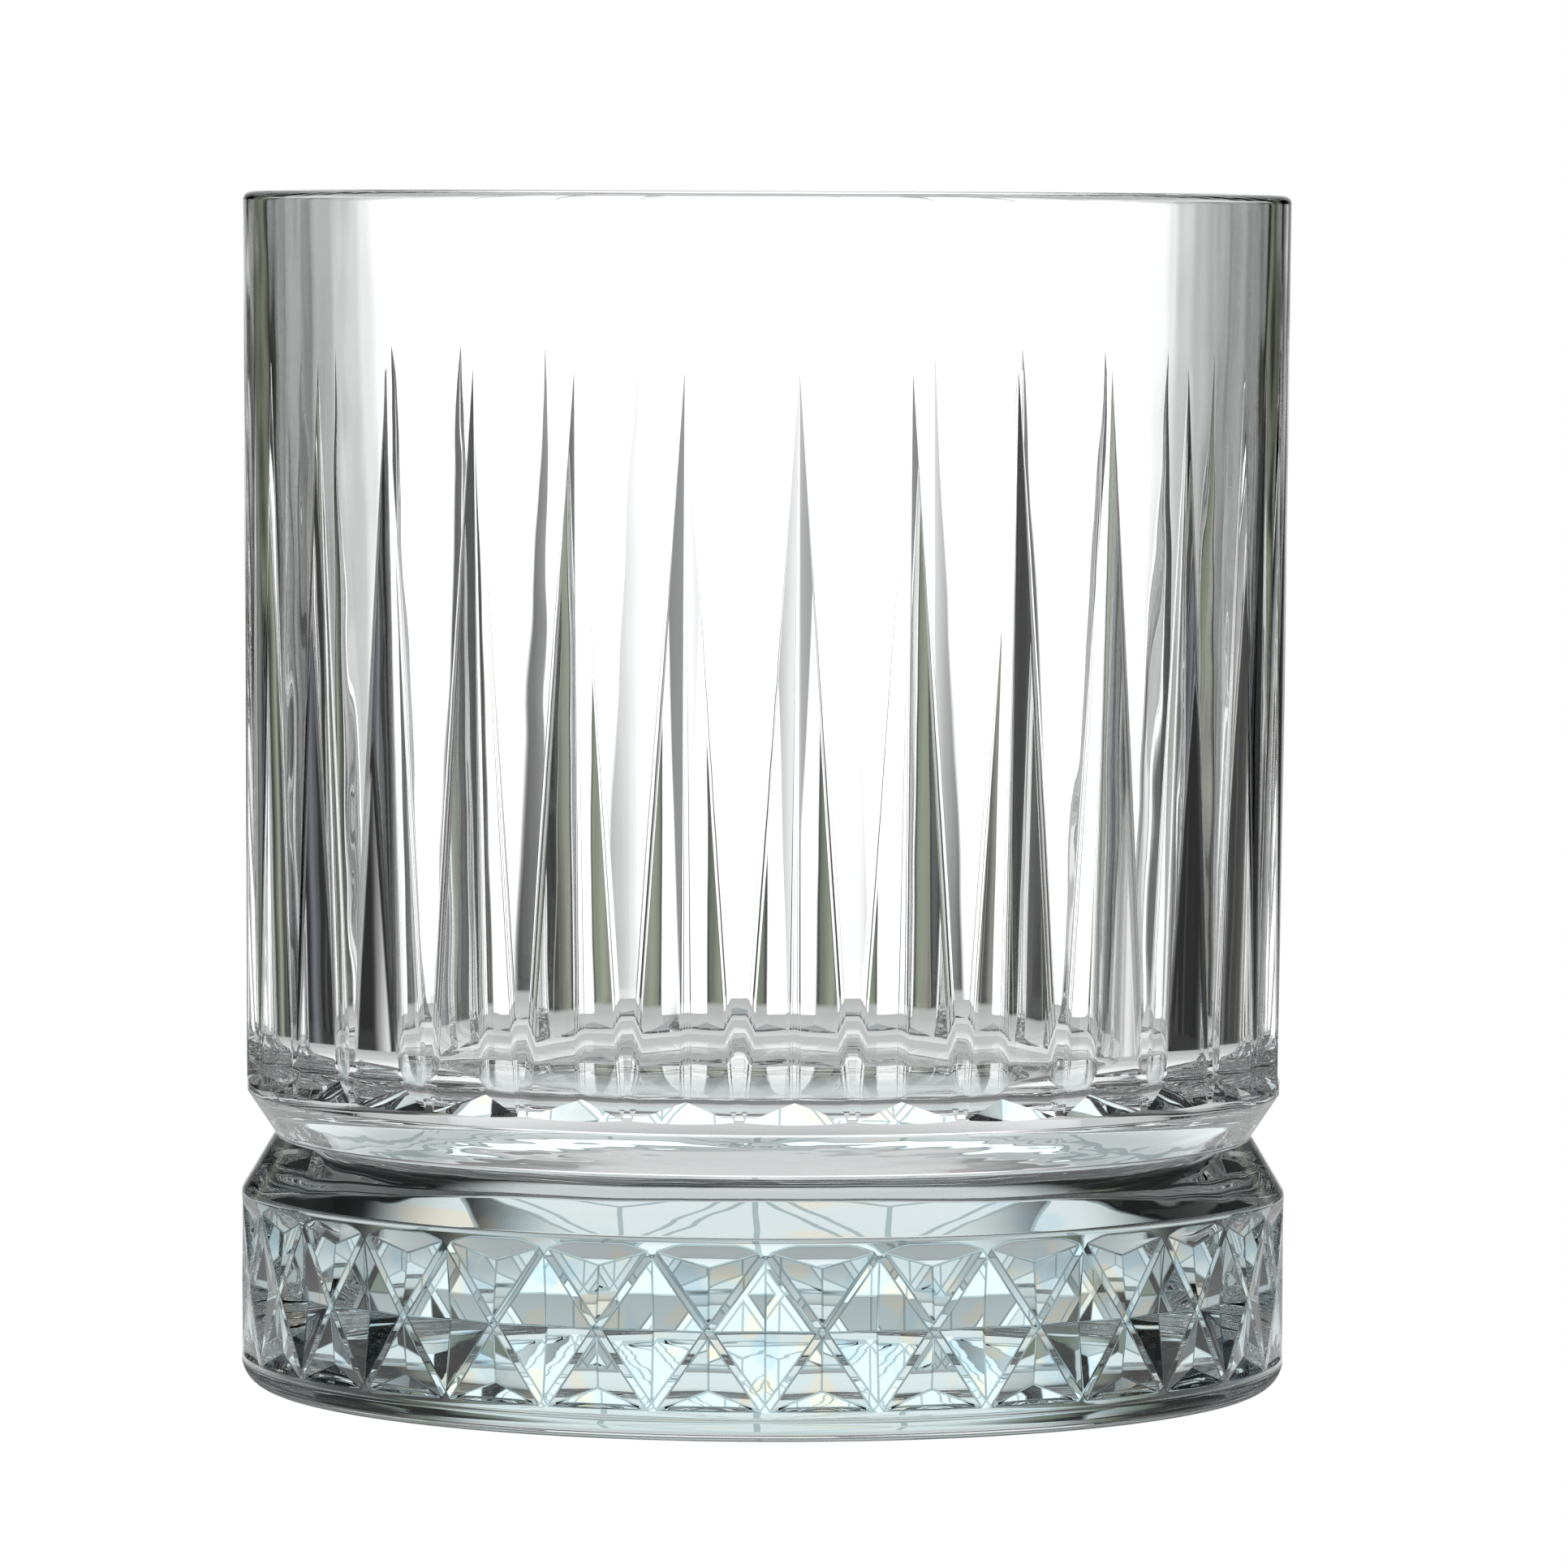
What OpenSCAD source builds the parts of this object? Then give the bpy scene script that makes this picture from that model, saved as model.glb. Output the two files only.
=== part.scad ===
/* [Overall] */
// Height from the resting ring to the rim
total_h = 96; // [88:0.5:104]
// Outer diameter of the plain band under the rim
rim_d = 84.2; // [80:0.1:88]
// Outer diameter at the lower end of the fluted wall
body_low_d = 83.2; // [80:0.1:86]
// Outer diameter of the faceted heel
foot_d = 84; // [80:0.1:88]

/* [Drinking well] */
// Height of the inside floor above the table
floor_h = 24.8; // [23.5:0.1:30]
// Thickness of the wall at the rim
wall_top = 2.1; // [1.6:0.1:3]
// Thickness of the wall just above the inside corner
wall_low = 3; // [2.7:0.1:3.5]
// Radius between the inside wall and the inside floor
well_corner_r = 4.2; // [2:0.1:8]
// Rise of the inside floor at its middle
floor_crown = 0.4; // [0:0.1:1]
// Radius of the fire-polished lip
lip_r = 0.8; // [0.4:0.1:1]

/* [Flutes] */
// Number of tapering flutes round the wall
flute_n = 30; // [12:2:36]
// Height of the flute tips
flute_top_z = 82.6; // [70:0.1:86]
// Height of the lower ends of the flutes
flute_low_z = 24.8; // [24.2:0.1:27]
// Height of the deepest point of each flute
flute_deep_z = 26.2; // [25.5:0.1:30]
// Depth of each flute at its deepest point
flute_depth = 1.7; // [0.5:0.1:1.8]
// Width of the plain land left between two flutes at their lower ends
flute_land = 0.8; // [0.4:0.1:2]
// Turn of the flutes about the upright axis
flute_turn = 3.44; // [0:0.01:12]

/* [Waist] */
// Height of the lower edge of the fluted wall
body_low_z = 23.8; // [23:0.1:24.2]
// Height of the narrowest ring
waist_z = 20.4; // [19:0.1:21]
// Diameter of the narrowest ring
waist_d = 78.6; // [76:0.1:80]

/* [Heel] */
// Height of the top edge of the heel wall
shoulder_z = 15.8; // [15:0.1:17]
// Height of the corner rounding under the heel
foot_corner_h = 2.3; // [1:0.1:2.4]
// Number of diamonds round the heel
diamond_n = 30; // [12:2:36]
// Height of the upper tips of the diamonds
diamond_top_z = 14.8; // [13:0.1:15]
// Height of the lower tips of the diamonds
diamond_low_z = 2.6; // [2.6:0.1:4]
// Width of the raised ribs between the diamonds
rib_w = 0.6; // [0.2:0.1:1.2]
// Depth of each diamond at its middle
diamond_depth = 0.6; // [0.2:0.05:1]
// Height of the closing facet above the lower tips
low_facet_h = 1.5; // [0.8:0.1:2.4]
// Height of the closing facet below the upper tips
top_facet_h = 1.2; // [0.8:0.1:2.4]
// Turn of the diamonds about the upright axis
diamond_turn = 0.32; // [0:0.01:12]
// Diameter of the shallow hollow in the underside
punt_d = 62; // [40:1:70]
// Depth of the shallow hollow in the underside
punt_h = 0.9; // [0.4:0.1:2]

/* [Hidden] */
$fn = 96;
rim_r = rim_d / 2;
low_r = body_low_d / 2;
foot_r = foot_d / 2;
waist_r = waist_d / 2;
diamond_mid_z = (diamond_top_z + diamond_low_z) / 2;
diamond_step = 360 / diamond_n;
flute_step = 360 / flute_n;
// Outer radius of the tapered wall at height z
function wall_r(z) = low_r + (rim_r - low_r) * (z - body_low_z) / (total_h - body_low_z);
// Points of an arc in the section plane, centre c, radius r, from angle a to angle b
function arc(c, r, a, b, n) = [for (i = [0 : n]) c + r * [cos(a + (b - a) * i / n), sin(a + (b - a) * i / n)]];
// A point at radius r, angle t from the front (-Y), height z
function at(r, t, z) = [r * sin(t), -r * cos(t), z];
// A point moved straight out from the axis by d
function out(p, d) = [p.x * (1 + d / norm([p.x, p.y])), p.y * (1 + d / norm([p.x, p.y])), p.z];
// A faceted cut: flat faces run from the deep point v to each edge of the outline c (clockwise from outside), which is carried straight out of the glass
module facet_cut(v, c) {
  n = len(c);
  near = [for (p = c) out(p, 0.02)];
  far = [for (p = c) out(p, 2)];
  polyhedron(
    points = concat([v], near, far),
    faces = concat(
      [for (i = [0 : n - 1]) [0, 1 + (i + 1) % n, 1 + i]],
      [for (i = [0 : n - 1]) [1 + i, 1 + (i + 1) % n, 1 + n + i]],
      [for (i = [0 : n - 1]) [1 + (i + 1) % n, 1 + n + (i + 1) % n, 1 + n + i]],
      [for (i = [1 : n - 2]) [1 + n, 1 + n + i, 2 + n + i]]
    )
  );
}

// One tapering V flute, closed at its lower end by a small sloping facet
module flute_cut() {
  half = flute_step / 2 - flute_land / 2 / low_r * 180 / PI;
  facet_cut(
    at(wall_r(flute_deep_z) - flute_depth, 0, flute_deep_z),
    [at(wall_r(flute_top_z), 0, flute_top_z), at(wall_r(flute_low_z), half, flute_low_z), at(wall_r(flute_low_z), -half, flute_low_z)]
  );
}

// One four-sided diamond between the ribs of the heel
module diamond_cut() {
  tall = (diamond_top_z - diamond_low_z) / 2;
  wide = foot_r * sin(diamond_step / 2);
  side = sqrt(tall * tall + wide * wide);
  dz = rib_w / 2 * side / wide;
  dt = rib_w / 2 * side / tall / foot_r * 180 / PI;
  facet_cut(
    at(foot_r - diamond_depth, 0, diamond_mid_z),
    [at(foot_r, 0, diamond_top_z - dz), at(foot_r, diamond_step / 2 - dt, diamond_mid_z), at(foot_r, 0, diamond_low_z + dz), at(foot_r, -diamond_step / 2 + dt, diamond_mid_z)]
  );
}

// One half diamond, pointing down (up = 1) or up (up = -1), closed by a sloping facet along its level edge
module half_diamond_cut(up) {
  tall = (diamond_top_z - diamond_low_z) / 2;
  wide = foot_r * sin(diamond_step / 2);
  side = sqrt(tall * tall + wide * wide);
  dz = rib_w / 2 * side / wide;
  dt = rib_w / 2 * side / tall / foot_r * 180 / PI;
  edge_z = up > 0 ? diamond_top_z : diamond_low_z;
  deep_z = up > 0 ? diamond_top_z - top_facet_h : diamond_low_z + low_facet_h;
  deep = diamond_depth * (tall - dz - (up > 0 ? top_facet_h : low_facet_h)) / (tall - dz);
  point = at(foot_r, 0, diamond_mid_z + up * dz);
  left = at(foot_r, -diamond_step / 2 + dt, edge_z);
  right = at(foot_r, diamond_step / 2 - dt, edge_z);
  facet_cut(at(foot_r - deep, 0, deep_z), up > 0 ? [left, right, point] : [left, point, right]);
}

// Upper piece of the moulding: base slab above the waist, fluted wall, lip and drinking well
module bowl() {
  lip = total_h - lip_r;
  in_top = wall_r(lip) - wall_top;
  in_low = low_r - wall_low;
  color([0.90, 0.94, 0.95, 0.45])
    difference() {
      rotate_extrude()
        polygon(concat(
          [[0, waist_z], [waist_r, waist_z], [low_r, body_low_z]],
          arc([wall_r(lip) - lip_r, lip], lip_r, 0, 90, 6),
          arc([in_top + lip_r, lip], lip_r, 90, 180, 6),
          arc([in_low - well_corner_r, floor_h + well_corner_r], well_corner_r, 0, -90, 8),
          [[in_low / 2, floor_h + floor_crown * 0.75], [0, floor_h + floor_crown]]
        ));
      for (k = [0 : flute_n - 1])
        rotate([0, 0, flute_turn + k * flute_step]) flute_cut();
    }
}

// Lower piece of the moulding: shoulder, faceted heel wall, rounded edge and underside
module foot() {
  color([0.76, 0.86, 0.87, 0.55])
    difference() {
      rotate_extrude()
        polygon(concat(
          [[0, punt_h], [punt_d / 2 - 2, punt_h], [punt_d / 2, 0]],
          arc([foot_r - foot_corner_h, foot_corner_h], foot_corner_h, -90, 0, 8),
          [[foot_r, shoulder_z], [waist_r, waist_z], [0, waist_z]]
        ));
      for (k = [0 : diamond_n - 1])
        rotate([0, 0, diamond_turn + k * diamond_step]) {
          diamond_cut();
          rotate([0, 0, diamond_step / 2]) half_diamond_cut(1);
          rotate([0, 0, diamond_step / 2]) half_diamond_cut(-1);
        }
    }
}

bowl();
foot();
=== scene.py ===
import math

import bmesh
import bpy
from mathutils import Matrix, Vector


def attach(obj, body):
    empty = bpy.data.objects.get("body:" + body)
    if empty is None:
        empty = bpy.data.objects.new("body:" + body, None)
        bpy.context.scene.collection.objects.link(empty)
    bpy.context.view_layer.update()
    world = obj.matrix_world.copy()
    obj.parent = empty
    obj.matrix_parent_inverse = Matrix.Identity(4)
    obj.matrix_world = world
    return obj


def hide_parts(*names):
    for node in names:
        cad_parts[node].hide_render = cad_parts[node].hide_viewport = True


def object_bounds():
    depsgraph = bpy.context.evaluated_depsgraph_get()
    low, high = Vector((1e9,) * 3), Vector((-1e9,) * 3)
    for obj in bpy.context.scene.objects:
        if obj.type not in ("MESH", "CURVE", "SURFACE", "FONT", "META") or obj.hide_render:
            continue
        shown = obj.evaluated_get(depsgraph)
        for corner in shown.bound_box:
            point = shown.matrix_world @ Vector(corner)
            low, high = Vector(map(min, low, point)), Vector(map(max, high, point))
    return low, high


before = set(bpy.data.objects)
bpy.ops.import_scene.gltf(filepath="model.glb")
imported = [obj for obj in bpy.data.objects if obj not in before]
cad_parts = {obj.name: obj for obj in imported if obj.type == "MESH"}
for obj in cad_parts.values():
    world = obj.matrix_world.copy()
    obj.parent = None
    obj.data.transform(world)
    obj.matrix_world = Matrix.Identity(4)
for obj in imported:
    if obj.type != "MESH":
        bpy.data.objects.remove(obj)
cad_lo, cad_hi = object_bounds()

# ---------------------------------------------------------------- sizes, mm
TOTAL_H = cad_hi.z * 1000 - 0.01
RIM_R, LOW_R, FOOT_R, WAIST_R = 42.1, 41.6, 42.0, 39.3
RIM_R = min(RIM_R, cad_hi.x * 1000)
BODY_LOW_Z, WAIST_Z, SHOULDER_Z = 23.8, 20.4, 15.8
FLOOR_H, WALL_TOP, WALL_LOW, WELL_R, WELL_W, CROWN, LIP_R = 24.8, 2.1, 3.0, 4.2, 4.2, 0.4, 0.8

FLUTES, FLUTE_TOP, FLUTE_LOW, FLUTE_DEEP = 30, 82.6, 24.8, 26.2
FLUTE_DEPTH, FLUTE_LAND, FLUTE_TURN = 1.7, 0.8, 3.44
FLUTE_SOFT = 0.4
# lit table brightness by distance from the axis; the low values under the foot and round its rim are a painted contact
# shadow
TABLE_LIGHT_AND_SHADOW = [(0.0, 0.6), (0.026, 0.85), (0.033, 0.65), (0.037, 0.22), (0.045, 0.18), (0.0485, 1.0), (0.055, 1.05), (0.09, 0.62), (0.16, 0.5), (0.3, 0.5)]
CARD_Y, CARD_LIGHT, CARD_FULL, CARD_GONE = 0.14, 1.35, 0.027, 0.049

DIAMONDS, TIP_TOP, TIP_LOW, RIB, PIT = 30, 14.8, 2.6, 0.6, 0.6
TOP_FACET, LOW_FACET, DIAMOND_TURN = 1.2, 1.5, 0.32
RIB_SOFT = 0.09
CORNER_H = 2.3
PUNT_R, PUNT_H = 31.0, 0.9

STEP = 360.0 / FLUTES
M, K = 16, 10  # divisions of a land, and of a flute's lower edge


def wall_r(z):
    return LOW_R + (RIM_R - LOW_R) * (z - BODY_LOW_Z) / (TOTAL_H - BODY_LOW_Z)


def at(r, t, z):
    a = math.radians(t)
    return Vector((r * math.sin(a), -r * math.cos(a), z))


def arc(cr, cz, r, a, b, n):
    """Points (radius, height) of an arc in the section plane."""
    out = []
    for i in range(n + 1):
        t = math.radians(a + (b - a) * i / n)
        out.append((cr + r * math.cos(t), cz + r * math.sin(t)))
    return out


def fillet(p, q, s, r, n):
    """Points that round the corner q between p and s."""
    q2, p2, s2 = Vector(q), Vector(p), Vector(s)
    u, v = (p2 - q2).normalized(), (s2 - q2).normalized()
    half = u.angle(v) / 2
    d = r / math.tan(half)
    centre = q2 + (u + v).normalized() * (r / math.sin(half))
    a, b = q2 + u * d - centre, q2 + v * d - centre
    turn = a.angle(b)
    out = []
    for i in range(n + 1):
        t = i / n
        w = (a * math.sin((1 - t) * turn) + b * math.sin(t * turn)) / math.sin(turn)
        out.append(tuple(centre + w))
    return out


class Skin:
    """Welds points into one closed mesh. Each face has a group: 0 is smooth, any other number is one flat facet, -1 is a softened edge."""

    def __init__(self):
        self.co, self.index, self.faces, self.group = [], {}, [], []

    def v(self, p):
        x, y, z = (round(c * 1000) for c in p)
        for key in [(x, y, z)] + [(x + i, y + j, z + k) for i in (-1, 0, 1) for j in (-1, 0, 1) for k in (-1, 0, 1)]:
            if key in self.index:
                return self.index[key]
        self.index[(x, y, z)] = len(self.co)
        self.co.append(Vector(p))
        return self.index[(x, y, z)]

    def face(self, pts, group=0):
        ids = [self.v(p) for p in pts]
        ids = [a for i, a in enumerate(ids) if a != ids[i - 1]]
        if len(set(ids)) >= 3:
            self.faces.append(ids)
            self.group.append(group)

    def rings(self, a, b, group=0):
        """Quads between two closed rings with the same number of points."""
        n = len(a)
        for i in range(n):
            self.face([a[i], a[(i + 1) % n], b[(i + 1) % n], b[i]], group)

    def stitch(self, a, b):
        """Triangles between two rings that don't share their angles."""
        ang = lambda p: math.atan2(p[0], -p[1]) % (2 * math.pi)
        a, b = sorted(a, key=ang), sorted(b, key=ang)
        i = j = 0
        while i < len(a) or j < len(b):
            ta = ang(a[(i + 1) % len(a)]) + (2 * math.pi if i + 1 >= len(a) else 0)
            tb = ang(b[(j + 1) % len(b)]) + (2 * math.pi if j + 1 >= len(b) else 0)
            pa, pb = a[i % len(a)], b[j % len(b)]
            if j >= len(b) or (i < len(a) and ta <= tb):
                self.face([pa, a[(i + 1) % len(a)], pb])
                i += 1
            else:
                self.face([pa, b[(j + 1) % len(b)], pb])
                j += 1


skin = Skin()
facet = 0


def new_facet():
    global facet
    facet += 1
    return facet


# ---------------------------------------------------------------- fluted wall
half_low = STEP / 2 - math.degrees(FLUTE_LAND / 2 / LOW_R)
APEX = at(wall_r(FLUTE_TOP), 0, FLUTE_TOP)
DEEP = at(wall_r(FLUTE_DEEP) - FLUTE_DEPTH, 0, FLUTE_DEEP)
CORNER = at(wall_r(FLUTE_LOW), half_low, FLUTE_LOW)
n_side = (DEEP - APEX).cross(CORNER - APEX).normalized()
u_side = n_side.cross(Vector((0, 0, 1))).normalized()
if u_side.x < 0:
    u_side = -u_side


def valley(z):
    t = (FLUTE_TOP - z) / (FLUTE_TOP - FLUTE_DEEP)
    return APEX.lerp(DEEP, t)


def edge_len(z):
    """Distance along the side facet, at height z, from the valley to the wall."""
    p, r = valley(z), wall_r(z)
    b = p.x * u_side.x + p.y * u_side.y
    c = p.x * p.x + p.y * p.y - r * r
    return -b + math.sqrt(max(b * b - c, 0.0))


def low_edge(t):
    """Where the closing facet at the foot of a flute meets the wall at angle t."""
    mirror = Vector((-CORNER.x, CORNER.y, CORNER.z))
    n = (CORNER - DEEP).cross(mirror - DEEP)
    z = FLUTE_LOW
    for _ in range(30):
        p = at(wall_r(z), t, z)
        d = (p - DEEP).dot(n)
        q = at(wall_r(z + 0.01), t, z + 0.01)
        z -= d / (((q - DEEP).dot(n) - d) / 0.01)
    return at(wall_r(z), t, z)


def level(z):
    """One flute's section at height z, from its middle to the edge of the land on its right: valley, soft valley, soft edge in, soft edge out."""
    p, long = valley(z), edge_len(z)
    soft = min(FLUTE_SOFT, long * 0.14)
    inner = p + u_side * (long * 0.13)
    lip_in = p + u_side * (long - soft)
    edge = p + u_side * long
    t = math.degrees(math.atan2(edge.x, -edge.y)) + math.degrees(soft / wall_r(z))
    return inner, lip_in, at(wall_r(z), t, z), t


zs = [FLUTE_DEEP] + [26.9, 28, 30, 33, 37, 42, 47, 52, 57, 62, 67, 71, 74.5, 77.5, 79.5, 81, 82] + [FLUTE_TOP]
flute_ring = {}


def turned(p, deg):
    return Matrix.Rotation(math.radians(deg), 3, "Z") @ p


def mirrored(p):
    return Vector((-p.x, p.y, p.z))


top_rings = []
low_ring = []
for k in range(FLUTES):
    turn = FLUTE_TURN + k * STEP
    T = lambda p: turned(p, turn)
    left, right, close = new_facet(), new_facet(), new_facet()
    prev = None
    lands = []
    for z in zs:
        if z == FLUTE_TOP:
            cur = (APEX, APEX, APEX, 0.0)
        else:
            cur = level(z)
        if prev is not None:
            i0, l0, o0, t0 = prev
            i1, l1, o1, t1 = cur
            for side, flip in ((right, lambda p: p), (left, mirrored)):
                skin.face([T(flip(q)) for q in (i0, l0, l1, i1)], side)
                skin.face([T(flip(q)) for q in (l0, o0, o1, l1)], -1)
            skin.face([T(q) for q in (mirrored(i0), i0, i1, mirrored(i1))], -1)
        lands.append((z, cur[3]))
        prev = cur
    # foot of the flute
    i0, l0, o0, t0 = level(FLUTE_DEEP)
    base = [low_edge(-half_low + 2 * half_low * i / K) for i in range(K + 1)]
    tl = math.degrees(math.atan2(CORNER.x, -CORNER.y)) + math.degrees(FLUTE_SOFT / LOW_R)
    for i in range(K):
        skin.face([T(q) for q in (DEEP, base[i], base[i + 1])], close)
    skin.face([T(q) for q in (DEEP, CORNER, l0, i0)], right)
    skin.face([T(q) for q in (DEEP, mirrored(CORNER), mirrored(l0), mirrored(i0))], left)
    skin.face([T(q) for q in (DEEP, i0, mirrored(i0))], -1)
    skin.face([T(q) for q in (CORNER, o0, l0)], -1)
    skin.face([T(q) for q in (mirrored(CORNER), mirrored(o0), mirrored(l0))], -1)
    # land to the right of this flute
    lands = [(FLUTE_LOW, half_low)] + lands
    for (z0, a0), (z1, a1) in zip(lands, lands[1:]):
        for i in range(M):
            f, g = i / M, (i + 1) / M
            q = lambda z, a, w: at(wall_r(z), turn + a + (STEP - 2 * a) * w, z)
            skin.face([q(z0, a0, f), q(z0, a0, g), q(z1, a1, g), q(z1, a1, f)])
    top_rings += [turn + STEP * i / M for i in range(M)]
    low_ring += [(turn - half_low + 2 * half_low * i / K, base[i].z) for i in range(K)]
    low_ring += [(turn + half_low + (STEP - 2 * half_low) * i / M, FLUTE_LOW) for i in range(M)]

# plain band, lip, well
lip_z = TOTAL_H - LIP_R
in_top, in_low = wall_r(lip_z) - WALL_TOP, LOW_R - WALL_LOW
profile = [(wall_r(z), z) for z in (FLUTE_TOP, 84.5, 87, 90, 93)]
profile += arc(wall_r(lip_z) - LIP_R, lip_z, LIP_R, 0, 90, 8)
profile += arc(in_top + LIP_R, lip_z, LIP_R, 90, 180, 8)
corner = [(in_low - WELL_W + WELL_W * math.cos(math.radians(5 * k)), FLOOR_H + WELL_R - WELL_R * math.sin(math.radians(5 * k))) for k in range(19)]
for i in range(1, 12):
    f = i / 12
    profile.append((in_top + (in_low - in_top) * f, lip_z + (FLOOR_H + WELL_R - lip_z) * f))
profile += corner
rf = corner[-1][0]
for f in (0.92, 0.84, 0.75, 0.65, 0.55, 0.45, 0.35, 0.25, 0.15, 0.07, 0.02):
    profile.append((rf * f, FLOOR_H + CROWN * (1 - f * f) ** 1.5))


def ring(r, z, angles):
    return [at(r, t, z) for t in angles]


rings = [ring(r, z, top_rings) for r, z in profile]
for a, b in zip(rings, rings[1:]):
    skin.rings(a, b)
top = Vector((0, 0, FLOOR_H + CROWN))
for i, p in enumerate(rings[-1]):
    skin.face([p, rings[-1][(i + 1) % len(rings[-1])], top])

# ---------------------------------------------------------------- waist
low_angles = [t for t, z in low_ring]
start = [at(wall_r(z), t, z) for t, z in low_ring]
ring_a = [start]
under = fillet((wall_r(24.4), 24.4), (LOW_R, BODY_LOW_Z), (WAIST_R, WAIST_Z), 0.25, 5)
for r, z in under + [(40.9, 22.766)]:
    ring_a.append(ring(r, z, low_angles))
for a, b in zip(ring_a, ring_a[1:]):
    skin.rings(a, b)

# ---------------------------------------------------------------- heel
tall = (TIP_TOP - TIP_LOW) / 2
mid_z = (TIP_TOP + TIP_LOW) / 2
wide = FOOT_R * math.sin(math.radians(STEP / 2))
side = math.hypot(tall, wide)
dz = RIB / 2 * side / wide
dt = math.degrees(RIB / 2 * side / tall / FOOT_R)
J = 12


def on_foot(t, z, d=0.0):
    return at(FOOT_R - d, t, z)


def plane_meets_foot(a, b, c, t, z):
    """Height at which the plane a, b, c meets the heel wall at angle t."""
    n = (b - a).cross(c - a)
    p = on_foot(t, 0)
    return ((a - p).dot(n)) / n.z


top_edge, low_edge_ring = [], []
deep_top = PIT * (tall - dz - TOP_FACET) / (tall - dz)
deep_low = PIT * (tall - dz - LOW_FACET) / (tall - dz)
for k in range(DIAMONDS):
    turn = DIAMOND_TURN + k * STEP
    T = lambda p: turned(p, turn)
    C = on_foot(0, mid_z, PIT)
    tip, low = on_foot(0, TIP_TOP - dz), on_foot(0, TIP_LOW + dz)
    rt, lt = on_foot(STEP / 2 - dt, mid_z), on_foot(-STEP / 2 + dt, mid_z)
    for tri in ((C, tip, rt), (C, rt, low), (C, low, lt), (C, lt, tip)):
        skin.face([T(q) for q in tri], new_facet())
    # half diamonds to the right, their ribs and the crossing
    h = STEP / 2
    up, dn = on_foot(h, mid_z + dz), on_foot(h, mid_z - dz)
    tl, tr = on_foot(dt, TIP_TOP), on_foot(STEP - dt, TIP_TOP)
    bl, br = on_foot(dt, TIP_LOW), on_foot(STEP - dt, TIP_LOW)
    nx_rt, nx_lt = on_foot(h + dt, mid_z), rt
    ntip, nlow = on_foot(STEP, TIP_TOP - dz), on_foot(STEP, TIP_LOW + dz)
    D, Dl = on_foot(h, TIP_TOP - TOP_FACET, deep_top), on_foot(h, TIP_LOW + LOW_FACET, deep_low)
    skin.face([T(q) for q in (D, tl, up)], new_facet())
    skin.face([T(q) for q in (D, up, tr)], new_facet())
    skin.face([T(q) for q in (Dl, dn, bl)], new_facet())
    skin.face([T(q) for q in (Dl, br, dn)], new_facet())
    skin.face([T(q) for q in (rt, dn, nx_rt, up)], new_facet())
    skin.face([T(q) for q in (tip, rt, up, tl)], new_facet())
    skin.face([T(q) for q in (up, nx_rt, ntip, tr)], new_facet())
    skin.face([T(q) for q in (rt, low, bl, dn)], new_facet())
    skin.face([T(q) for q in (nx_rt, dn, br, nlow)], new_facet())
    # closing facets, which run out on the heel wall in a curve
    angs = [dt + (STEP - 2 * dt) * i / J for i in range(J + 1)]
    zt = [plane_meets_foot(D, tl, tr, t, TIP_TOP) for t in angs]
    zb = [plane_meets_foot(Dl, bl, br, t, TIP_LOW) for t in angs]
    zt = [min(max(z, TIP_TOP), SHOULDER_Z - 0.42) for z in zt]
    zb = [TIP_LOW for z in zb]
    zt[0] = zt[-1] = TIP_TOP
    g = new_facet()
    skin.face([T(q) for q in [D, tr] + [on_foot(t, z) for t, z in zip(angs[-2:0:-1], zt[-2:0:-1])] + [tl]], g)
    g = new_facet()
    chord = [bl.lerp(br, i / J) for i in range(J + 1)]
    chord = [Vector((c.x, c.y, TIP_LOW + 0.28 * (1 - abs(2 * i / J - 1) ** 6))) for i, c in enumerate(chord)]
    skin.face([T(q) for q in [Dl] + chord], g)
    g = new_facet()
    arcs = [on_foot(t, TIP_LOW - 0.02) for t in angs]
    arcs[0], arcs[-1] = bl, br
    for i in range(J):
        skin.face([T(q) for q in (chord[i], arcs[i], arcs[i + 1], chord[i + 1])], g)
    # rib ends
    skin.face([T(q) for q in (on_foot(-dt, TIP_TOP), tip, tl)], new_facet())
    skin.face([T(q) for q in (on_foot(-dt, TIP_LOW), bl, low)], new_facet())
    top_edge += [(turn + t, z) for t, z in zip(angs, zt)]
    low_edge_ring += [(turn + dt, TIP_LOW)] + [(turn + t, TIP_LOW - 0.02) for t in angs[1:-1]] + [(turn + STEP - dt, TIP_LOW)]

foot_angles = [t for t, z in top_edge]
top_edge = [on_foot(t, z) for t, z in top_edge]
low_edge_ring = [on_foot(t, z) for t, z in low_edge_ring]
shoulder = fillet((WAIST_R, WAIST_Z), (FOOT_R, SHOULDER_Z), (FOOT_R, 12.0), 1.1, 10)
waist = fillet((LOW_R, BODY_LOW_Z), (WAIST_R, WAIST_Z), (FOOT_R, SHOULDER_Z), 0.3, 5)
rings = [ring(40.4, 22.026, foot_angles)]
rings += [ring(r, z, foot_angles) for r, z in waist]
rings += [ring(r, z, foot_angles) for r, z in [(39.9, 19.378), (40.6, 18.185)] + shoulder]
rings.append(top_edge)
for a, b in zip(rings, rings[1:]):
    skin.rings(a, b)
skin.stitch(ring_a[-1], rings[0])

under = arc(FOOT_R - CORNER_H, CORNER_H, CORNER_H, 0, -90, 10)
under += [(38.0, 0.0), (35.5, 0.0), (33.2, 0.0)]
for i in range(1, 9):
    f = i / 8
    under.append((33.2 - 4.2 * f, PUNT_H * 0.8 * (1 - math.cos(math.pi * f)) / 2))
for f in (0.85, 0.7, 0.55, 0.4, 0.25, 0.12, 0.04):
    under.append((29.0 * f, PUNT_H * (0.8 + 0.2 * (1 - f * f))))
rings = [low_edge_ring] + [ring(r, z, foot_angles) for r, z in under]
for a, b in zip(rings, rings[1:]):
    skin.rings(a, b)
for i, p in enumerate(rings[-1]):
    skin.face([p, rings[-1][(i + 1) % len(rings[-1])], Vector((0, 0, PUNT_H))])

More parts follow.
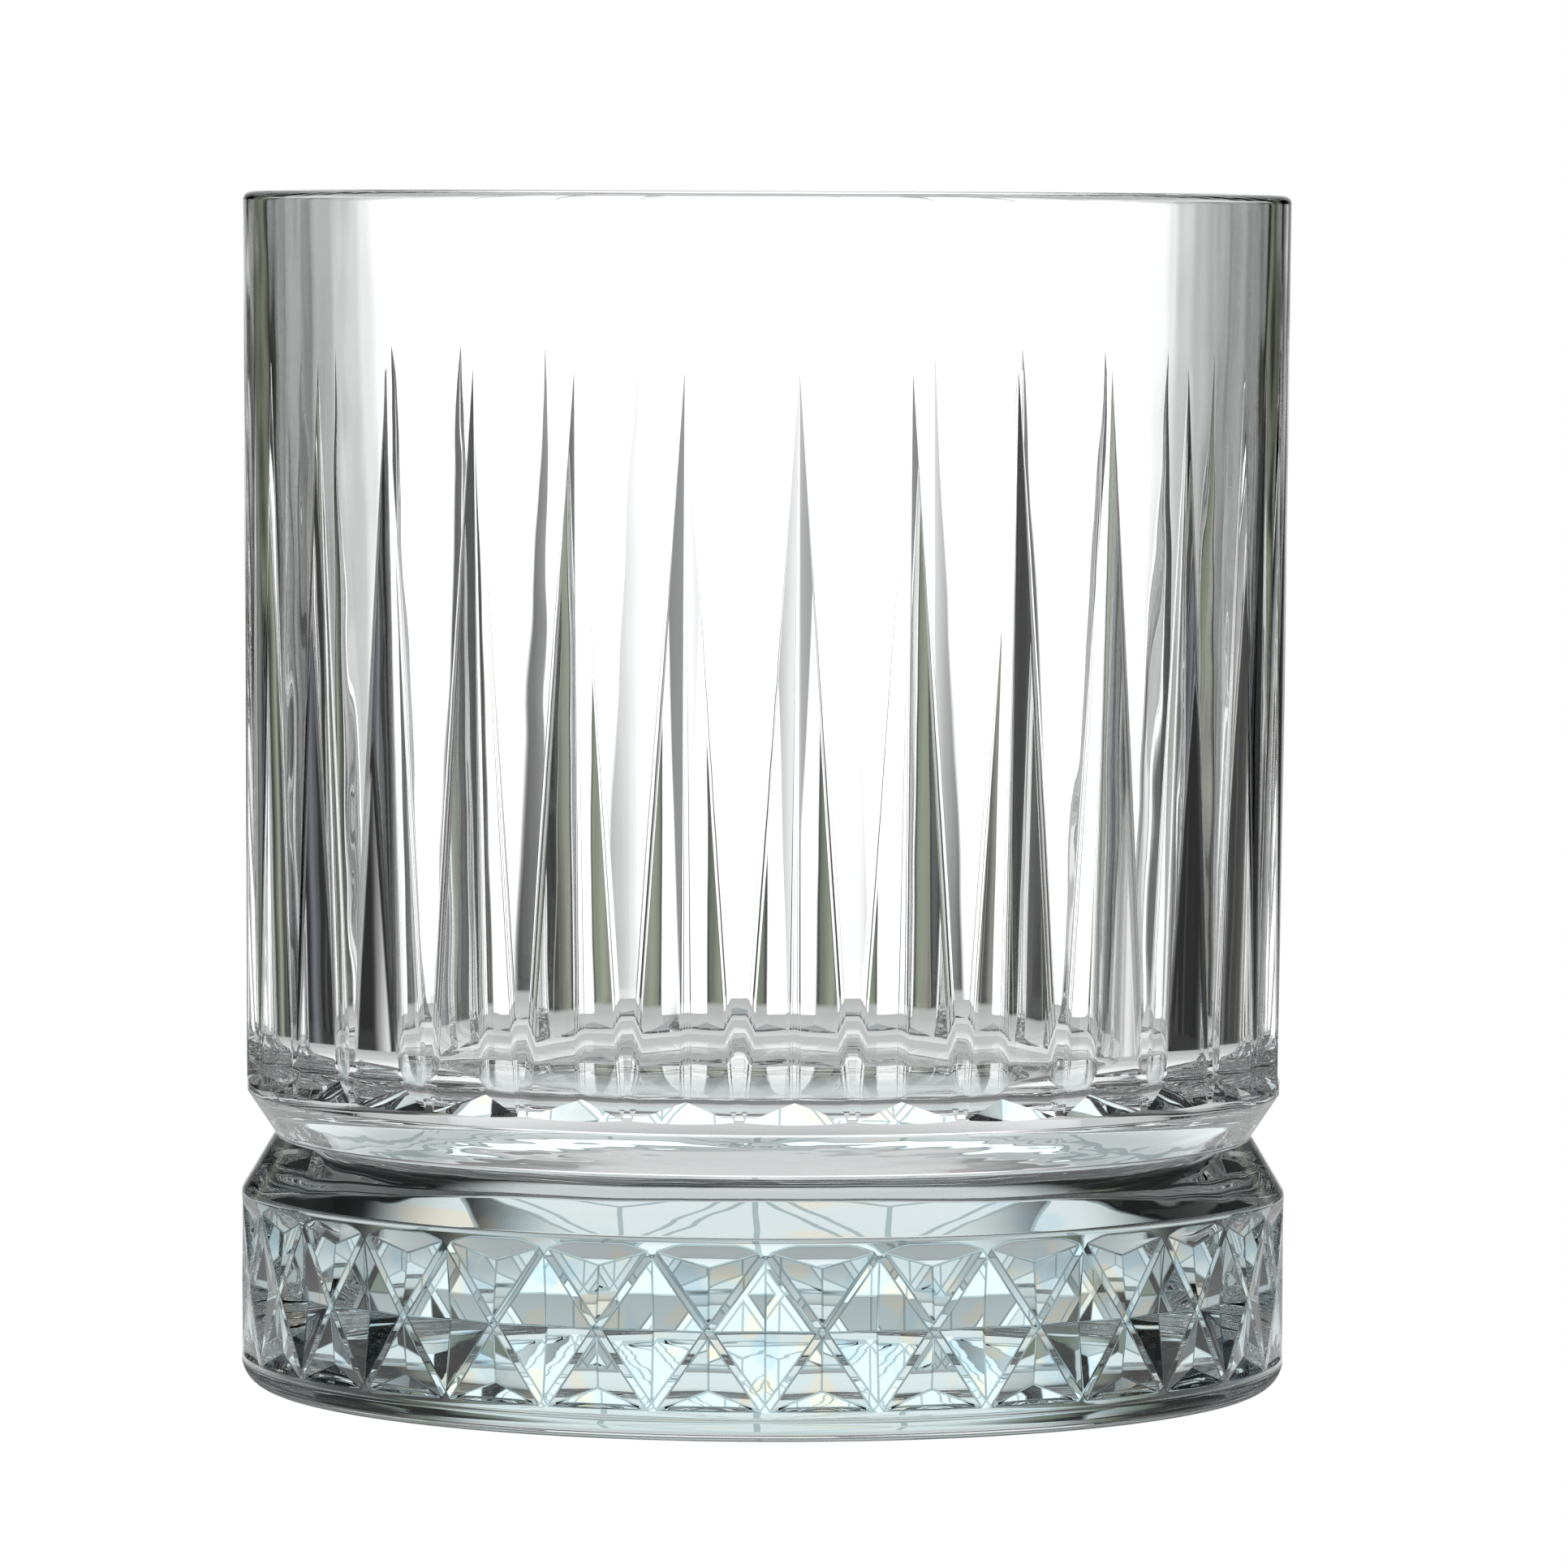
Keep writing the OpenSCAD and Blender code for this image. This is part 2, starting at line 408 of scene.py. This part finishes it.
# ---------------------------------------------------------------- mesh object
bm = bmesh.new()
layer = bm.faces.layers.int.new("facet_group")
verts = [bm.verts.new(p * 0.001) for p in skin.co]
bm.verts.ensure_lookup_table()
for ids, g in zip(skin.faces, skin.group):
    try:
        f = bm.faces.new([verts[i] for i in ids])
    except ValueError:
        continue
    f[layer] = g
bmesh.ops.recalc_face_normals(bm, faces=bm.faces)
loose = [e for e in bm.edges if len(e.link_faces) != 2]
print("open or shared edges:", len(loose), [tuple(round(c * 1000, 3) for c in e.verts[0].co) for e in loose[:6]])

# soften the ribs and creases of the heel
creases = []
for e in bm.edges:
    if len(e.link_faces) != 2:
        continue
    a, b = (f[layer] for f in e.link_faces)
    z = (e.verts[0].co.z + e.verts[1].co.z) * 500
    if z < 16 and a != b and (a > 0 or b > 0) and e.calc_face_angle(0) > math.radians(3):
        creases.append(e)
made = bmesh.ops.bevel(bm, geom=creases, offset=RIB_SOFT * 0.001, offset_type="OFFSET", segments=1, profile=0.5, affect="EDGES", clamp_overlap=False, loop_slide=True)
for f in made["faces"]:
    f[layer] = -1
bmesh.ops.dissolve_degenerate(bm, dist=1e-7, edges=bm.edges)
bmesh.ops.recalc_face_normals(bm, faces=bm.faces)
bm.normal_update()

vol = bm.calc_volume(signed=True)
if vol < 0:
    bmesh.ops.reverse_faces(bm, faces=bm.faces)
    bm.normal_update()
print("glass volume cm3:", round(vol * 1e6, 2), "faces:", len(bm.faces))

mesh = bpy.data.meshes.new("tumbler_glass")
bm.verts.index_update()
normals = []
for f in bm.faces:
    f.smooth = True
    # the heel's softened edges take the second material, which paints shade on them
    f.material_index = 1 if f[layer] == -1 and f.calc_center_median().z < 0.0157 else 0
for f in bm.faces:
    g = f[layer]
    for loop in f.loops:
        n = Vector((0, 0, 0))
        for q in loop.vert.link_faces:
            same = q[layer] == g if g != -1 else q[layer] != -1
            if same:
                n += q.normal * q.calc_area()
        if n.length < 1e-14:
            n = f.normal.copy()
        normals.append(n.normalized())
bm.to_mesh(mesh)
bm.free()
mesh.normals_split_custom_set([tuple(n) for n in normals])
glass = bpy.data.objects.new("tumbler_glass", mesh)
bpy.context.scene.collection.objects.link(glass)
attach(glass, "root")
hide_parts("bowl", "foot")


# ---------------------------------------------------------------- materials
def node(tree, kind, **values):
    n = tree.nodes.new(kind)
    for k, v in values.items():
        setattr(n, k, v)
    return n


def glass_material(name, edge):
    """Clear pressed glass with a fire-polished, slightly wavy skin; edge paints shade on the rounded rib edges,
    darkening them.
    """
    mat = bpy.data.materials.new(name)
    mat.use_nodes = True
    t = mat.node_tree
    t.nodes.clear()
    out = node(t, "ShaderNodeOutputMaterial")
    bsdf = node(t, "ShaderNodeBsdfPrincipled")
    bsdf.inputs["Transmission Weight"].default_value = 1.0
    bsdf.inputs["IOR"].default_value = 1.52
    bsdf.inputs["Specular IOR Level"].default_value = 0.5
    t.links.new(bsdf.outputs[0], out.inputs["Surface"])
    co = node(t, "ShaderNodeTexCoord")
    sep = node(t, "ShaderNodeSeparateXYZ")
    t.links.new(co.outputs["Object"], sep.inputs[0])

    def span(value, a, b, c=0.0, d=1.0):
        n = node(t, "ShaderNodeMapRange")
        for k, x in (("From Min", a), ("From Max", b), ("To Min", c), ("To Max", d)):
            n.inputs[k].default_value = x
        t.links.new(value, n.inputs["Value"])
        return n.outputs[0]

    def times(a, b):
        n = node(t, "ShaderNodeMath", operation="MULTIPLY")
        for k, x in enumerate((a, b)):
            if isinstance(x, (int, float)):
                n.inputs[k].default_value = x
            else:
                t.links.new(x, n.inputs[k])
        return n.outputs[0]

    def mixed(fac, a, colour):
        n = node(t, "ShaderNodeMix", data_type="RGBA")
        t.links.new(fac, n.inputs[0])
        t.links.new(a, n.inputs[6])
        n.inputs[7].default_value = (*colour, 1)
        return n.outputs[2]

    def noise(scale, detail, squash=1.0, shift=0.0):
        m = node(t, "ShaderNodeMapping")
        m.inputs["Scale"].default_value = (1, 1, squash)
        m.inputs["Location"].default_value = (shift, shift, 0)
        t.links.new(co.outputs["Object"], m.inputs["Vector"])
        n = node(t, "ShaderNodeTexNoise")
        n.inputs["Scale"].default_value = scale
        n.inputs["Detail"].default_value = detail
        t.links.new(m.outputs[0], n.inputs["Vector"])
        return n.outputs[0]

    # body colour by height: teal-grey painted shade on the heel, grey painted shade on the shoulder, clear wall
    ramp = node(t, "ShaderNodeValToRGB")
    stops = [(0.0, (1.0, 1.0, 1.0)), (0.01, HEEL_PAINTED_SHADE), (0.5, HEEL_PAINTED_SHADE), (0.53, SHOULDER_PAINTED_SHADE), (0.64, SHOULDER_PAINTED_SHADE), (0.68, (0.97, 0.98, 0.98)), (1.0, (0.985, 0.995, 0.99))]
    e = ramp.color_ramp.elements
    while len(e) < len(stops):
        e.new(0.5)
    for k, (p, c) in enumerate(stops):
        e[k].position = p
        e[k].color = (*c, 1)
    t.links.new(span(sep.outputs["Z"], 0.0, 0.03), ramp.inputs[0])
    colour = ramp.outputs[0]
    # distance from the axis
    flat = node(t, "ShaderNodeCombineXYZ")
    t.links.new(sep.outputs["X"], flat.inputs[0])
    t.links.new(sep.outputs["Y"], flat.inputs[1])
    length = node(t, "ShaderNodeVectorMath", operation="LENGTH")
    t.links.new(flat.outputs[0], length.inputs[0])
    low = times(span(sep.outputs["Z"], 0.0145, 0.0155, 1.0, 0.0), span(length.outputs["Value"], 0.0402, 0.0406))
    # warm and cool flecks in the heel
    grain = noise(330, 0.0)
    colour = mixed(times(times(span(grain, 0.66, 0.72), low), 0.6), colour, (0.93, 0.74, 0.42))
    colour = mixed(times(times(span(noise(300, 0.0, 1.0, 0.37), 0.66, 0.72), low), 0.6), colour, (0.36, 0.66, 0.82))
    # the rounded edge under the heel, darkened: painted shade
    painted_shade_ring_mask = times(span(length.outputs["Value"], 0.0402, 0.0406), span(sep.outputs["Z"], 0.0024, 0.0026, 1.0, 0.0))
    colour = mixed(painted_shade_ring_mask, colour, RING_PAINTED_SHADE)
    if edge:
        # painted shade: the rounded rib edges of the heel are darkened
        colour = mixed(span(sep.outputs["Z"], 0.0, 0.001, 1.0, 0.9), colour, EDGE_PAINTED_SHADE)
    t.links.new(colour, bsdf.inputs["Base Color"])
    t.links.new(span(grain, 0.3, 0.7, 0.0, 0.008), bsdf.inputs["Roughness"])

    # upright drag lines on the wall, soft waviness everywhere
    drag = node(t, "ShaderNodeBump")
    drag.inputs["Distance"].default_value = DRAG
    t.links.new(noise(420, 0.0, 0.05), drag.inputs["Height"])
    t.links.new(span(sep.outputs["Z"], 0.020, 0.028, 0.15, 1.0), drag.inputs["Strength"])
    wave = node(t, "ShaderNodeBump")
    wave.inputs["Distance"].default_value = WAVE
    wave.inputs["Strength"].default_value = 1.0
    t.links.new(noise(150, 0.0), wave.inputs["Height"])
    t.links.new(drag.outputs[0], wave.inputs["Normal"])
    t.links.new(wave.outputs[0], bsdf.inputs["Normal"])
    return mat


# painted shade: heel and shoulder are darkened for what refraction shows there; clear glass has no such colour
HEEL_PAINTED_SHADE, SHOULDER_PAINTED_SHADE = (0.66, 0.79, 0.81), (0.46, 0.49, 0.485)
# painted shade for the ring under the heel and for the heel's rib edges
RING_PAINTED_SHADE, EDGE_PAINTED_SHADE = (0.42, 0.48, 0.47), (0.16, 0.25, 0.27)
DRAG, WAVE = 0.000018, 0.00003
glass.data.materials.append(glass_material("pressed_glass", False))
glass.data.materials.append(glass_material("pressed_glass_shaded_edges", True))

# ---------------------------------------------------------------- stage
floor_mesh = bpy.data.meshes.new("floor")
bm = bmesh.new()
bmesh.ops.create_circle(bm, cap_ends=True, segments=96, radius=6.0)
bm.to_mesh(floor_mesh)
bm.free()
floor = bpy.data.objects.new("floor", floor_mesh)
floor.location = (0, 0, -0.0002)
bpy.context.scene.collection.objects.link(floor)
fm = bpy.data.materials.new("floor_white")
fm.use_nodes = True
fm.node_tree.nodes.clear()
fo = node(fm.node_tree, "ShaderNodeOutputMaterial")
fe = node(fm.node_tree, "ShaderNodeEmission")
fe.inputs["Color"].default_value = (1, 1, 1, 1)
fe.inputs["Strength"].default_value = 1.0
fm.node_tree.links.new(fe.outputs[0], fo.inputs["Surface"])
floor.data.materials.append(fm)
floor.visible_transmission = False
floor.visible_glossy = False
floor.visible_shadow = False

# lit table round the foot, seen only through the glass; its brightness drops under the foot and in a ring at the foot's
# rim: a painted contact shadow
glow_mesh = bpy.data.meshes.new("lit_table")
bm = bmesh.new()
bmesh.ops.create_circle(bm, cap_ends=True, segments=64, radius=0.3)
bm.to_mesh(glow_mesh)
bm.free()
glow = bpy.data.objects.new("lit_table", glow_mesh)
glow.location = (0, 0, -0.0001)
bpy.context.scene.collection.objects.link(glow)
gm = bpy.data.materials.new("table_light_and_shadow")
gm.use_nodes = True
gt = gm.node_tree
gt.nodes.clear()
go = node(gt, "ShaderNodeOutputMaterial")
ge = node(gt, "ShaderNodeEmission")
gx = node(gt, "ShaderNodeBsdfTransparent")
gmix = node(gt, "ShaderNodeMixShader")
gc = node(gt, "ShaderNodeTexCoord")
gl = node(gt, "ShaderNodeVectorMath", operation="LENGTH")
gt.links.new(gc.outputs["Object"], gl.inputs[0])
gr = node(gt, "ShaderNodeValToRGB")
gr.color_ramp.interpolation = "EASE"
stops = TABLE_LIGHT_AND_SHADOW
e = gr.color_ramp.elements
while len(e) < len(stops):
    e.new(0.5)
for k, (p, c) in enumerate(stops):
    e[k].position = p / 0.3
    e[k].color = (c, c, c, 1)
gt.links.new(gl.outputs["Value"], gr.inputs[0])
gs = node(gt, "ShaderNodeMath", operation="DIVIDE")
gs.inputs[1].default_value = 0.3
gt.links.new(gl.outputs["Value"], gs.inputs[0])
gt.links.new(gs.outputs[0], gr.inputs[0])
gt.links.new(gr.outputs[0], ge.inputs["Color"])
ga = node(gt, "ShaderNodeMapRange", interpolation_type="SMOOTHSTEP")
ga.inputs["From Min"].default_value = 0.18
ga.inputs["From Max"].default_value = 0.29
ga.inputs["To Min"].default_value = 1.0
ga.inputs["To Max"].default_value = 0.0
gt.links.new(gl.outputs["Value"], ga.inputs["Value"])
gt.links.new(ga.outputs[0], gmix.inputs[0])
gt.links.new(gx.outputs[0], gmix.inputs[1])
gt.links.new(ge.outputs[0], gmix.inputs[2])
gt.links.new(gmix.outputs[0], go.inputs["Surface"])
glow.data.materials.append(gm)
glow.visible_camera = False
glow.visible_shadow = False

# white card close behind the glass, which fades out at its sides
card_mesh = bpy.data.meshes.new("light_card")
card_mesh.from_pydata([(-0.09, 0, 0), (0.09, 0, 0), (0.09, 0, 0.2), (-0.09, 0, 0.2)], [], [(0, 1, 2, 3)])
card = bpy.data.objects.new("light_card", card_mesh)
card.location = (0, CARD_Y, 0)
bpy.context.scene.collection.objects.link(card)
cm = bpy.data.materials.new("card_light")
cm.use_nodes = True
ct = cm.node_tree
ct.nodes.clear()
co_ = node(ct, "ShaderNodeOutputMaterial")
ce = node(ct, "ShaderNodeEmission")
ce.inputs["Strength"].default_value = CARD_LIGHT
cx = node(ct, "ShaderNodeBsdfTransparent")
cmix = node(ct, "ShaderNodeMixShader")
cc = node(ct, "ShaderNodeTexCoord")
cs = node(ct, "ShaderNodeSeparateXYZ")
ct.links.new(cc.outputs["Object"], cs.inputs[0])


def card_fade(value, full, gone):
    a = node(ct, "ShaderNodeMath", operation="ABSOLUTE")
    ct.links.new(value, a.inputs[0])
    n = node(ct, "ShaderNodeMapRange", interpolation_type="SMOOTHSTEP")
    n.inputs["From Min"].default_value = full
    n.inputs["From Max"].default_value = gone
    n.inputs["To Min"].default_value = 1.0
    n.inputs["To Max"].default_value = 0.0
    ct.links.new(a.outputs[0], n.inputs["Value"])
    return n.outputs[0]


fx = card_fade(cs.outputs["X"], CARD_FULL, CARD_GONE)
fz = card_fade(cs.outputs["Z"], 0.12, 0.19)
fm_ = node(ct, "ShaderNodeMath", operation="MULTIPLY")
ct.links.new(fx, fm_.inputs[0])
ct.links.new(fz, fm_.inputs[1])
ct.links.new(fm_.outputs[0], cmix.inputs[0])
ct.links.new(cx.outputs[0], cmix.inputs[1])
ct.links.new(ce.outputs[0], cmix.inputs[2])
ct.links.new(cmix.outputs[0], co_.inputs["Surface"])
card.data.materials.append(cm)
card.visible_camera = False
card.visible_shadow = False

# ---------------------------------------------------------------- studio light
world = bpy.data.worlds.new("studio")
bpy.context.scene.world = world
world.use_nodes = True
wt = world.node_tree
wt.nodes.clear()
wo = node(wt, "ShaderNodeOutputWorld")
bg = node(wt, "ShaderNodeBackground")
wt.links.new(bg.outputs[0], wo.inputs["Surface"])
wc = node(wt, "ShaderNodeTexCoord")
ws = node(wt, "ShaderNodeSeparateXYZ")
wt.links.new(wc.outputs["Generated"], ws.inputs[0])


def wmath(op, a, b=None):
    n = node(wt, "ShaderNodeMath", operation=op)
    for i, x in enumerate((a, b)):
        if x is None:
            continue
        if isinstance(x, (int, float)):
            n.inputs[i].default_value = x
        else:
            wt.links.new(x, n.inputs[i])
    return n.outputs[0]


def wramp(value, stops):
    n = node(wt, "ShaderNodeValToRGB")
    n.color_ramp.interpolation = "EASE"
    e = n.color_ramp.elements
    while len(e) < len(stops):
        e.new(0.5)
    for i, (p, c) in enumerate(stops):
        e[i].position = p
        e[i].color = (c, c, c, 1)
    wt.links.new(value, n.inputs[0])
    return n.outputs[0]


azimuth = wmath("ABSOLUTE", wmath("MULTIPLY", wmath("ARCTAN2", ws.outputs["X"], ws.outputs["Y"]), 180 / math.pi))
elevation = wmath("MULTIPLY", wmath("ARCSINE", ws.outputs["Z"]), 180 / math.pi)
az = wmath("DIVIDE", azimuth, 180.0)
el = wmath("DIVIDE", wmath("ADD", elevation, 90.0), 180.0)
d = lambda deg: deg / 180.0
E = lambda deg: (deg + 90) / 180.0
# brightness round the horizon: bright fields in front of, behind and beside the glass, dark cards between them
belt = wramp(az, [(0, 1.35), (d(5), 1.3), (d(8.5), 0.65), (d(13), 0.25), (d(18), 0.01), (d(24), 0.0), (d(29), 0.3), (d(33), 0.02), (d(44), 0.0), (d(50), 0.18), (d(56), 0.0), (d(76), 0.0), (d(84), 0.85), (d(98), 0.95), (d(112), 0.5), (d(128), 0.6), (d(150), 0.5), (d(165), 0.3), (1, 0.3)])
above = wramp(az, [(0, 0.5), (d(12), 0.48), (d(18), 0.25), (d(26), 0.06), (d(34), 0.01), (d(90), 0.03), (d(120), 0.2), (1, 0.2)])
zenith = 0.01
low_mix = wramp(el, [(0, 0), (E(-22), 0), (E(-10), 1), (1, 1)])
high_mix = wramp(el, [(0, 0), (E(9), 0), (E(17), 1), (1, 1)])


def wmix(fac, a, b):
    n = node(wt, "ShaderNodeMix", data_type="FLOAT")
    wt.links.new(fac, n.inputs[0])
    for i, x in ((2, a), (3, b)):
        if isinstance(x, (int, float)):
            n.inputs[i].default_value = x
        else:
            wt.links.new(x, n.inputs[i])
    return n.outputs[0]


below = wramp(az, [(0, 1.1), (d(20), 1.0), (d(50), 0.75), (1, 0.7)])
below = wmix(wramp(el, [(0, 1), (E(-50), 1), (E(-35), 0), (1, 0)]), below, 1.15)
light = wmix(low_mix, below, belt)
light = wmix(high_mix, light, above)
light = wmix(wramp(el, [(0, 0), (E(58), 0), (E(72), 1), (1, 1)]), light, zenith)
lp = node(wt, "ShaderNodeLightPath")
light = wmix(lp.outputs["Is Camera Ray"], light, 1.0)
wt.links.new(light, bg.inputs["Strength"])
tint = node(wt, "ShaderNodeValToRGB")
stops = [(0, (1, 1, 1)), (d(22), (1, 1, 1)), (d(27), (0.80, 1.0, 0.62)), (d(31), (1.0, 0.96, 0.80)), (d(40), (1, 1, 1)), (d(47), (0.86, 0.80, 1.0)), (d(54), (0.78, 0.92, 1.0)), (d(64), (1, 1, 1)), (1, (1, 1, 1))]
e = tint.color_ramp.elements
while len(e) < len(stops):
    e.new(0.5)
for k, (p, c) in enumerate(stops):
    e[k].position = p
    e[k].color = (*c, 1)
wt.links.new(az, tint.inputs[0])
# the faint colour fringes stay near the horizon
fringe = node(wt, "ShaderNodeMix", data_type="RGBA")
wt.links.new(wmath("MULTIPLY", low_mix, wmath("SUBTRACT", 1.0, high_mix)), fringe.inputs[0])
fringe.inputs[6].default_value = (1, 1, 1, 1)
wt.links.new(tint.outputs[0], fringe.inputs[7])
wt.links.new(fringe.outputs[2], bg.inputs["Color"])

# ---------------------------------------------------------------- camera
cam_data = bpy.data.cameras.new("camera")
cam_data.sensor_fit = "HORIZONTAL"
cam_data.sensor_width = 36.0
cam_data.lens = 238.06
cam_data.clip_start = 0.05
cam_data.clip_end = 50.0
cam = bpy.data.objects.new("camera", cam_data)
cam.matrix_world = (
    Matrix.Translation((0.0, -0.83366, 0.09813))
    @ Matrix.Rotation(math.radians(-0.106), 4, "Z")
    @ Matrix.Rotation(math.radians(90 - 3.415), 4, "X")
    @ Matrix.Rotation(math.radians(0.269), 4, "Z")
)
bpy.context.scene.collection.objects.link(cam)
bpy.context.scene.camera = cam

scene = bpy.context.scene
scene.view_settings.view_transform = "Standard"
scene.view_settings.look = "None"
scene.cycles.max_bounces = 32
scene.cycles.transmission_bounces = 32
scene.cycles.glossy_bounces = 16
scene.cycles.caustics_reflective = True
scene.cycles.caustics_refractive = True
scene.cycles.blur_glossy = 0.0

bpy.context.view_layer.update()
